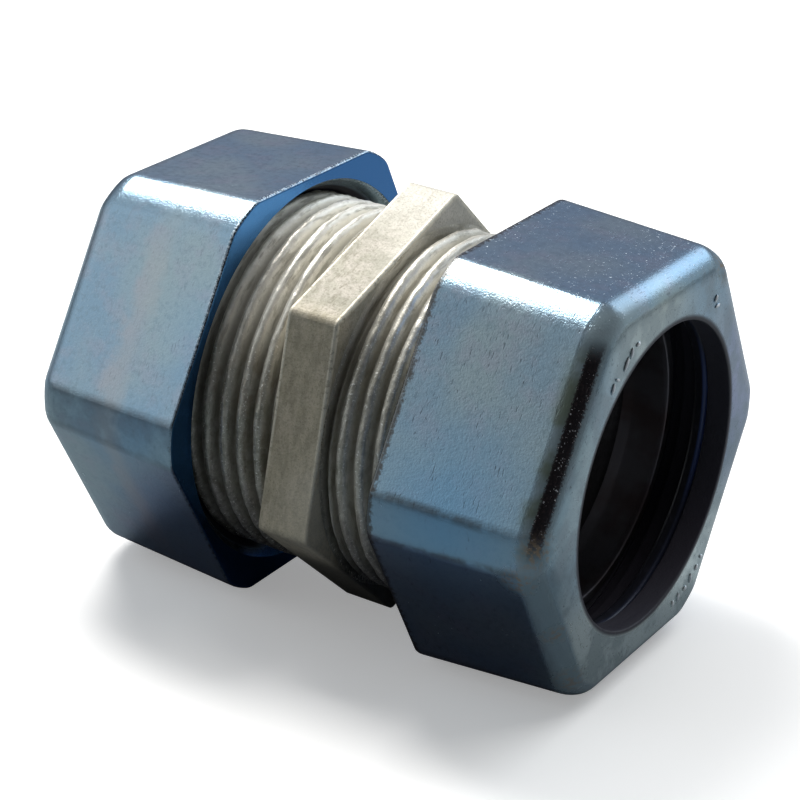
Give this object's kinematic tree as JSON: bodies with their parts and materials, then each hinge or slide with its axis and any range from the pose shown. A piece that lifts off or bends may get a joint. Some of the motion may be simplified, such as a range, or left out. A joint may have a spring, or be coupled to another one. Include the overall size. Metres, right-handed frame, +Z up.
{
  "type": "conduit compression coupling",
  "caption": "Threaded conduit coupling with a hexagonal centre flange and a hexagonal gland nut on each end that clamps a conduit through a split ring.",
  "frame": {"origin": "middle of the centre flange, on the bore axis, which is the centre of the whole coupling", "axes": "+X along the bore axis towards the right-hand gland nut, +Z up, square to the nuts' top flats; the threads are right-handed"},
  "size_m": [0.0454, 0.0364, 0.0334],
  "materials": {
    "cast_body": "dull zinc-plated casting with bright worn thread crests",
    "plated_nut": "zinc-plated casting, satin blue-grey",
    "ring_steel": "plain stamped steel",
    "washer_rubber": "matt black"
  },
  "bodies": {
    "body": {"coupling_body": "cast_body"},
    "right_washer": {"right_sealing_washer": "washer_rubber"},
    "right_nut": {"right_gland_nut": "plated_nut"},
    "right_ring": {"right_split_ring": "ring_steel"},
    "left_washer": {"left_sealing_washer": "washer_rubber"},
    "left_nut": {"left_gland_nut": "plated_nut"},
    "left_ring": {"left_split_ring": "ring_steel"}
  },
  "joints": [
    {"name": "right_nut_travel", "type": "slide", "parent": "body", "child": "right_washer", "axis": [1, 0, 0], "range_m": [-0.0024, 0.0048]},
    {"name": "right_nut_turn", "type": "hinge", "parent": "right_washer", "child": "right_nut", "pos_m": [0.01575, 0, 0], "axis": [1, 0, 0], "range_deg": [-540, 1080]},
    {"name": "right_ring_slide", "type": "slide", "parent": "body", "child": "right_ring", "axis": [1, 0, 0], "range_m": [-0.0005, 0.001]},
    {"name": "left_nut_travel", "type": "slide", "parent": "body", "child": "left_washer", "axis": [-1, 0, 0], "range_m": [-0.0024, 0.0048]},
    {"name": "left_nut_turn", "type": "hinge", "parent": "left_washer", "child": "left_nut", "pos_m": [-0.01575, 0, 0], "axis": [-1, 0, 0], "range_deg": [-540, 1080]},
    {"name": "left_ring_slide", "type": "slide", "parent": "body", "child": "left_ring", "axis": [-1, 0, 0], "range_m": [-0.0005, 0.001]}
  ],
  "couplings": [
    {"joint": "right_nut_travel", "follows": "right_nut_turn", "m_per_rad": 0.00025266},
    {"joint": "right_ring_slide", "follows": "right_nut_turn", "m_per_rad": 0.00005093},
    {"joint": "left_nut_travel", "follows": "left_nut_turn", "m_per_rad": 0.00025266},
    {"joint": "left_ring_slide", "follows": "left_nut_turn", "m_per_rad": 0.00005093}
  ]
}
